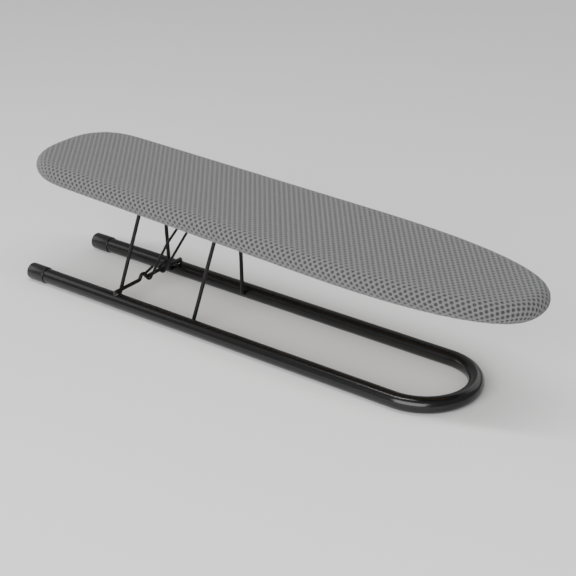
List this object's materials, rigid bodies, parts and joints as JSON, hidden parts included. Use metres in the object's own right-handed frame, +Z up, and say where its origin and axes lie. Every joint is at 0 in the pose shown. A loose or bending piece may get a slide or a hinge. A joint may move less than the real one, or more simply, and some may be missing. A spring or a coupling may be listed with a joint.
{
  "type": "sleeve ironing board",
  "caption": "Small table-top ironing board: padded rounded board with a mesh cover on folding wire legs over a U-shaped tube base.",
  "frame": {"origin": "bottom centre of the bounding box, on the table surface", "axes": "+X along the board towards its nose, +Y across to the side where the stay is offset, +Z up"},
  "size_m": [0.586, 0.1384, 0.1457],
  "materials": {
    "tube_paint": "semi-gloss black powder coat",
    "wire_paint": "satin black powder coat",
    "cap_plastic": "moulded black",
    "cover_mesh": "grey knitted spacer mesh with dark cells",
    "pad_foam": "soft white foam",
    "panel_board": "raw fibreboard",
    "elastic": "woven elastic",
    "zinc_steel": "zinc plated"
  },
  "bodies": {
    "base": {"base_tube": "tube_paint", "near_end_cap": "cap_plastic", "far_end_cap": "cap_plastic", "lock_bar": "wire_paint"},
    "rear_leg": {"rear_leg": "wire_paint"},
    "front_leg": {"front_leg": "wire_paint"},
    "lock_stay": {"lock_stay": "wire_paint"},
    "board": {"board_panel": "panel_board", "board_pad": "pad_foam", "board_cover": "cover_mesh", "hem_elastic": "elastic", "rear_hinge_bracket": "zinc_steel", "front_hinge_bracket": "zinc_steel", "stay_catch": "zinc_steel", "rear_bracket_screw_1": "zinc_steel", "rear_bracket_screw_2": "zinc_steel", "front_bracket_screw_1": "zinc_steel", "front_bracket_screw_2": "zinc_steel", "catch_screw_1": "zinc_steel", "catch_screw_2": "zinc_steel"}
  },
  "joints": [
    {"name": "rear_leg_fold", "type": "hinge", "parent": "base", "child": "rear_leg", "pos_m": [-0.17458, 0, 0.00881], "axis": [0, 1, 0], "range_deg": [-86, 0]},
    {"name": "front_leg_fold", "type": "hinge", "parent": "base", "child": "front_leg", "pos_m": [-0.07418, 0, 0.00861], "axis": [0, 1, 0], "range_deg": [-86, 0]},
    {"name": "stay_fold", "type": "hinge", "parent": "base", "child": "lock_stay", "pos_m": [-0.16846, 0, 0.0191], "axis": [0, 1, 0], "range_deg": [0, 58]},
    {"name": "board_swing", "type": "hinge", "parent": "rear_leg", "child": "board", "pos_m": [-0.15703, 0, 0.11578], "axis": [0, 1, 0], "range_deg": [0, 86]}
  ],
  "couplings": [
    {"joint": "front_leg_fold", "follows": "rear_leg_fold", "ratio": 1},
    {"joint": "stay_fold", "follows": "rear_leg_fold", "ratio": -0.674},
    {"joint": "board_swing", "follows": "rear_leg_fold", "ratio": -1}
  ]
}
